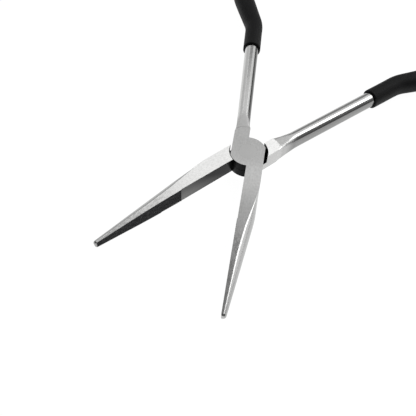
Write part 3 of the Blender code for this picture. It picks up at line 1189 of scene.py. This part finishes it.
# name, azimuth from +Y towards +X, elevation, width, height, distance, radiance
LAMPS = (
    ("key", 32.0, 47.0, 0.60, 0.66, 1.2, 3.2),
    ("rear", -28.0, 54.5, 1.50, 0.70, 1.3, 0.85),
    ("rear_low", -28.0, 19.0, 0.85, 0.90, 1.3, 0.16),
    ("right_mid", 4.0, 28.0, 0.50, 0.46, 1.2, 0.8),
    ("right_low", 44.0, 17.0, 0.60, 0.60, 1.2, 1.1),
    ("left", -62.0, 20.0, 0.95, 1.00, 1.3, 0.6),
)


def aim(obj, target):
    obj.rotation_mode = "QUATERNION"
    obj.rotation_quaternion = (target - obj.location).to_track_quat("-Z", "Y")


def add_lamp(name, azimuth, elevation, width, height, distance, radiance):
    """A softbox that stands round the pliers and faces them; radiance is how bright its
    panel looks."""
    lamp = bpy.data.lights.new(name, "AREA")
    lamp.shape = "RECTANGLE"
    lamp.size = width
    lamp.size_y = height
    lamp.energy = radiance * math.pi * width * height
    obj = shown(name, lamp)
    turn, rise = math.radians(azimuth), math.radians(elevation)
    level_share = math.cos(rise)
    towards = Vector((math.sin(turn) * level_share, math.cos(turn) * level_share, math.sin(rise)))
    obj.location = distance * towards
    aim(obj, Vector((0, 0, 0)))


def add_camera():
    turn, rise = CAMERA_AZIMUTH, CAMERA_ELEVATION
    level_share = math.cos(rise)
    back = Vector((math.sin(turn) * level_share, -math.cos(turn) * level_share, math.sin(rise)))
    right = Vector((math.cos(turn), math.sin(turn), 0))
    up = back.cross(right)
    level = Matrix((right, up, back)).transposed()
    tilted = level @ Matrix.Rotation(CAMERA_ROLL, 3, "Z")
    camera = bpy.data.cameras.new("camera")
    camera.lens = CAMERA_LENS
    camera.clip_start = 10 * MM
    camera.clip_end = 20
    obj = shown("camera", camera)
    target = Vector((0, 0, HEAD_THICKNESS)) - tilted @ Vector((*CAMERA_ASIDE, 0))
    placed = tilted.to_4x4()
    placed.translation = target + back * CAMERA_DISTANCE
    obj.matrix_world = placed
    bpy.context.scene.camera = obj


def add_room(brightness):
    world = bpy.data.worlds.new("room")
    bpy.context.scene.world = world
    world.use_nodes = True
    background = world.node_tree.nodes["Background"]
    background.inputs["Color"].default_value = (brightness, brightness, brightness, 1.0)


def add_floor(settings):
    bm = bmesh.new()
    half = FLOOR_SIZE / 2
    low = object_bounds()[0].z - 0.02 * MM
    corners = ((-half, -half), (half, -half), (half, half), (-half, half))
    bm.faces.new([bm.verts.new((x, y, low)) for x, y in corners])
    floor = shown("light_table", mesh_of(bm, "light_table"))
    finish = Finish("light_table")
    finish.set(
        base_color=(0.1, 0.1, 0.1, 1.0),
        roughness=0.9,
        specular_ior_level=0.0,
        emission_color=(*settings.floor_colour, 1.0),
        emission_strength=FLOOR_GLOW,
    )
    floor.data.materials.append(finish.material)
    floor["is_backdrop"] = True


class PLIERS_OT_studio(bpy.types.Operator):
    """Set the light table, the soft lamps and the camera"""

    bl_idname = "pliers.studio"
    bl_label = "Studio"

    def execute(self, context):
        settings = context.scene.pliers_studio
        add_floor(settings)
        add_room(settings.room_brightness)
        for *placing, radiance in LAMPS:
            add_lamp(*placing, radiance * settings.light_scale)
        add_camera()
        context.scene.view_settings.view_transform = "Standard"
        return {"FINISHED"}


class PLIERS_PT_panel(bpy.types.Panel):
    """Lists the builders of the pliers and their settings"""

    bl_idname = "PLIERS_PT_panel"
    bl_label = "Long-Nose Pliers"
    bl_space_type = "VIEW_3D"
    bl_region_type = "UI"
    bl_category = "Pliers"

    def draw(self, context):
        layout = self.layout
        for operator in (PLIERS_OT_halves, PLIERS_OT_rivet, PLIERS_OT_grips, PLIERS_OT_studio):
            layout.operator(operator.bl_idname)
        scene = context.scene
        for owner in (scene.pliers_forgings, scene.pliers_grips, scene.pliers_studio):
            box = layout.box()
            for name in type(owner).__annotations__:
                box.prop(owner, name)


CLASSES = (
    PliersForgingSettings,
    PliersGripSettings,
    PliersStudioSettings,
    PLIERS_OT_halves,
    PLIERS_OT_rivet,
    PLIERS_OT_grips,
    PLIERS_OT_studio,
    PLIERS_PT_panel,
)


def register():
    for cls in CLASSES:
        bpy.utils.register_class(cls)
    bpy.types.Scene.pliers_forgings = PointerProperty(type=PliersForgingSettings)
    bpy.types.Scene.pliers_grips = PointerProperty(type=PliersGripSettings)
    bpy.types.Scene.pliers_studio = PointerProperty(type=PliersStudioSettings)


def unregister():
    del bpy.types.Scene.pliers_forgings
    del bpy.types.Scene.pliers_grips
    del bpy.types.Scene.pliers_studio
    for cls in reversed(CLASSES):
        bpy.utils.unregister_class(cls)


def main():
    register()
    bpy.ops.pliers.halves()
    bpy.ops.pliers.rivet()
    bpy.ops.pliers.grips()
    bpy.ops.pliers.studio()


if __name__ == "__main__":
    main()
